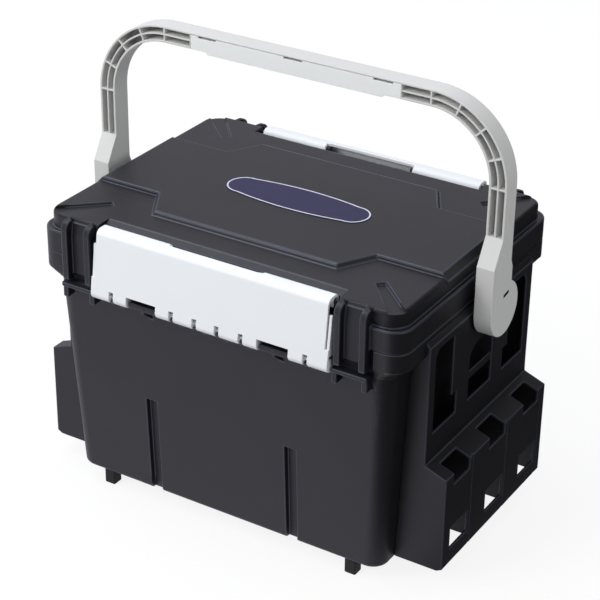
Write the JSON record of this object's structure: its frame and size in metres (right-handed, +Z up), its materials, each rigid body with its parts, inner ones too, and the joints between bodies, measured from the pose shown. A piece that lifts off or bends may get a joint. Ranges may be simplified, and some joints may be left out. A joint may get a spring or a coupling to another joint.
{
  "type": "fishing seat box",
  "caption": "Fishing seat box with a deep drafted tub, rod racks on its sides, a rimmed lid held by full-width latches front and rear, and a swinging ribbed bow handle.",
  "frame": {"origin": "centre of the footprint on the floor, under the feet", "axes": "+X to the right along the front latch, +Y from front to back, +Z up"},
  "size_m": [0.475, 0.334, 0.4765],
  "materials": {
    "tub_plastic": "fine moulded grain, satin",
    "latch_plastic": "smooth moulded, semi gloss",
    "handle_plastic": "smooth moulded, satin",
    "grip_plastic": "smooth moulded, satin",
    "badge_film": "printed film with a pale border",
    "foot_rubber": "matt"
  },
  "bodies": {
    "body": {"body_tub": "tub_plastic", "side_rack_left": "tub_plastic", "side_rack_right": "tub_plastic", "foot_front_left": "foot_rubber", "foot_front_right": "foot_rubber", "foot_rear_left": "foot_rubber", "foot_rear_right": "foot_rubber"},
    "lid": {"lid": "tub_plastic", "lid_badge": "badge_film"},
    "front_latch": {"front_latch": "latch_plastic"},
    "rear_latch": {"rear_latch": "latch_plastic"},
    "handle": {"handle_bail": "handle_plastic", "handle_grip": "grip_plastic"}
  },
  "joints": [
    {"name": "lid_hinge", "type": "hinge", "parent": "body", "child": "lid", "pos_m": [0, 0.1603, 0.2482], "axis": [-1, 0, 0], "range_deg": [0, 30]},
    {"name": "front_latch_hinge", "type": "hinge", "parent": "lid", "child": "front_latch", "pos_m": [0, -0.1468, 0.3093], "axis": [-1, 0, 0], "range_deg": [0, 95]},
    {"name": "rear_latch_hinge", "type": "hinge", "parent": "lid", "child": "rear_latch", "pos_m": [0, 0.1468, 0.3093], "axis": [1, 0, 0], "range_deg": [0, 95]},
    {"name": "handle_hinge", "type": "hinge", "parent": "body", "child": "handle", "pos_m": [0, 0, 0.265], "axis": [1, 0, 0], "range_deg": [-125, 125]}
  ]
}
